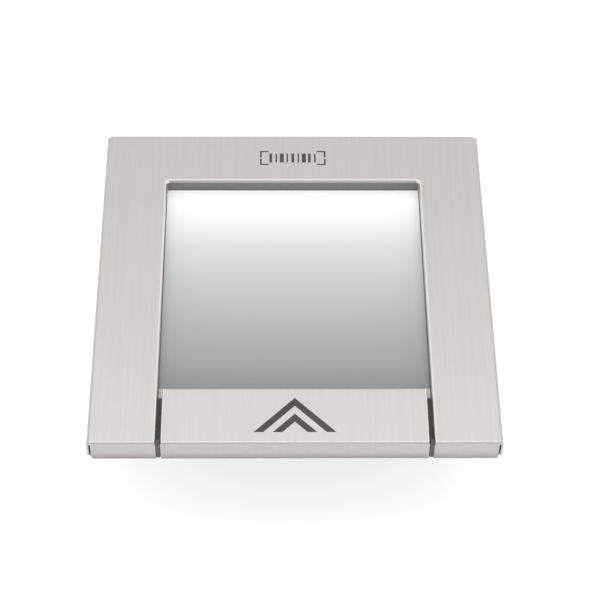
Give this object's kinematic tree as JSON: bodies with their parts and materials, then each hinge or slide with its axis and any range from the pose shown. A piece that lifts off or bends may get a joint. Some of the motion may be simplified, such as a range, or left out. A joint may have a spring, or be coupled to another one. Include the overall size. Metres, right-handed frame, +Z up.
{
  "type": "flatbed barcode scanner",
  "caption": "in-counter barcode scanner: square brushed stainless cover with a recessed window and a slotted front panel, over a tapered housing with camera, mirror and lights inside",
  "frame": {"origin": "on the floor under the middle of the cover, at the soles of the four feet", "axes": "+Z up through the window; the operator stands at -Y, where the front panel and its arrow marks are; the ports are at +Y; +X is to the operator's right"},
  "size_m": [0.216, 0.216, 0.08],
  "materials": {
    "stainless": "brushed front to back",
    "etched_mark": "matt fill, dark olive grey",
    "black_plastic": "fine matt texture",
    "trim_plastic": "fine matt texture",
    "window_pane": "hard coated, strongly reflecting",
    "dust_pane": "clear",
    "seal_rubber": "matt",
    "housing_plastic": "fine moulded texture",
    "plated_steel": "zinc plated",
    "fixings": "zinc plated, bright",
    "bushing_brass": "turned",
    "foot_rubber": "matt",
    "label_film": "blank satin film",
    "circuit_board": "solder mask",
    "chip_case": "moulded",
    "sink_metal": "anodised",
    "port_plastic": "moulded",
    "button_plastic": "moulded",
    "lamp_plastic": "clear tinted",
    "barrel_metal": "black anodised",
    "lens_pane": "coated",
    "cable_film": "polyimide film",
    "mirror_face": "front silvered",
    "lamp_chip": "moulded",
    "diffuser_plastic": "frosted"
  },
  "bodies": {
    "housing": {"lower_tub": "housing_plastic", "base_plate": "plated_steel", "base_screws": "fixings", "rating_label": "label_film", "optics_deck": "housing_plastic", "deck_screws": "fixings", "deck_gasket": "seal_rubber", "dust_window": "dust_pane", "dust_seal": "seal_rubber", "foot_bushings": "bushing_brass", "main_board": "circuit_board", "board_screws": "fixings", "heat_sink": "sink_metal", "board_chips": "chip_case", "capacitors": "sink_metal", "beeper": "chip_case", "host_port": "port_plastic", "data_port": "port_plastic", "port_contacts": "bushing_brass", "power_port": "port_plastic", "push_switches": "chip_case", "status_lamp": "lamp_plastic", "camera_bracket": "plated_steel", "camera_board": "circuit_board", "image_sensor": "chip_case", "lens_mount": "black_plastic", "lens_barrel": "barrel_metal", "lens_elements": "lens_pane", "camera_cable": "cable_film", "cable_socket": "black_plastic", "fold_mirror": "mirror_face", "mirror_bracket": "plated_steel", "mirror_clips": "fixings", "light_brackets": "plated_steel", "light_boards": "circuit_board", "light_leds": "lamp_chip", "light_diffusers": "diffuser_plastic", "bracket_screws": "fixings"},
    "top_cover": {"bezel_frame": "stainless", "scan_mark": "etched_mark", "carrier_frame": "black_plastic", "window_trim": "trim_plastic", "frame_studs": "fixings", "frame_nuts": "fixings", "rim_seal": "seal_rubber", "window_glass": "window_pane", "window_gasket": "seal_rubber"},
    "front_panel": {"front_panel": "stainless", "arrow_marks": "etched_mark", "panel_slider": "black_plastic"},
    "volume_button": {"volume_button": "button_plastic"},
    "tone_button": {"tone_button": "button_plastic"},
    "foot_pad_front_left": {"foot_pad_front_left": "foot_rubber"},
    "foot_stud_front_left": {"foot_stud_front_left": "fixings"},
    "foot_pad_front_right": {"foot_pad_front_right": "foot_rubber"},
    "foot_stud_front_right": {"foot_stud_front_right": "fixings"},
    "foot_pad_back_left": {"foot_pad_back_left": "foot_rubber"},
    "foot_stud_back_left": {"foot_stud_back_left": "fixings"},
    "foot_pad_back_right": {"foot_pad_back_right": "foot_rubber"},
    "foot_stud_back_right": {"foot_stud_back_right": "fixings"}
  },
  "joints": [
    {"name": "cover_lift", "type": "slide", "parent": "housing", "child": "top_cover", "axis": [0, 0, 1], "range_m": [0, 0.06]},
    {"name": "panel_pull", "type": "slide", "parent": "top_cover", "child": "front_panel", "axis": [0, -1, 0], "range_m": [0, 0.03]},
    {"name": "volume_press", "type": "slide", "parent": "housing", "child": "volume_button", "axis": [0, -1, 0], "range_m": [0, 0.0008], "stiffness_N_per_m": 900, "springref_m": -0.0006},
    {"name": "tone_press", "type": "slide", "parent": "housing", "child": "tone_button", "axis": [0, -1, 0], "range_m": [0, 0.0008], "stiffness_N_per_m": 900, "springref_m": -0.0006},
    {"name": "foot_slide_front_left", "type": "slide", "parent": "housing", "child": "foot_pad_front_left", "axis": [0, 0, 1], "range_m": [-0.004, 0]},
    {"name": "foot_turn_front_left", "type": "hinge", "parent": "foot_pad_front_left", "child": "foot_stud_front_left", "pos_m": [-0.062, -0.046, 0.01], "axis": [0, 0, 1], "range_deg": [-1440, 0]},
    {"name": "foot_slide_front_right", "type": "slide", "parent": "housing", "child": "foot_pad_front_right", "axis": [0, 0, 1], "range_m": [-0.004, 0]},
    {"name": "foot_turn_front_right", "type": "hinge", "parent": "foot_pad_front_right", "child": "foot_stud_front_right", "pos_m": [0.062, -0.046, 0.01], "axis": [0, 0, 1], "range_deg": [-1440, 0]},
    {"name": "foot_slide_back_left", "type": "slide", "parent": "housing", "child": "foot_pad_back_left", "axis": [0, 0, 1], "range_m": [-0.004, 0]},
    {"name": "foot_turn_back_left", "type": "hinge", "parent": "foot_pad_back_left", "child": "foot_stud_back_left", "pos_m": [-0.062, 0.066, 0.01], "axis": [0, 0, 1], "range_deg": [-1440, 0]},
    {"name": "foot_slide_back_right", "type": "slide", "parent": "housing", "child": "foot_pad_back_right", "axis": [0, 0, 1], "range_m": [-0.004, 0]},
    {"name": "foot_turn_back_right", "type": "hinge", "parent": "foot_pad_back_right", "child": "foot_stud_back_right", "pos_m": [0.062, 0.066, 0.01], "axis": [0, 0, 1], "range_deg": [-1440, 0]}
  ],
  "couplings": [
    {"joint": "foot_turn_front_left", "follows": "foot_slide_front_left", "rad_per_m": 6283.2},
    {"joint": "foot_turn_front_right", "follows": "foot_slide_front_right", "rad_per_m": 6283.2},
    {"joint": "foot_turn_back_left", "follows": "foot_slide_back_left", "rad_per_m": 6283.2},
    {"joint": "foot_turn_back_right", "follows": "foot_slide_back_right", "rad_per_m": 6283.2}
  ]
}
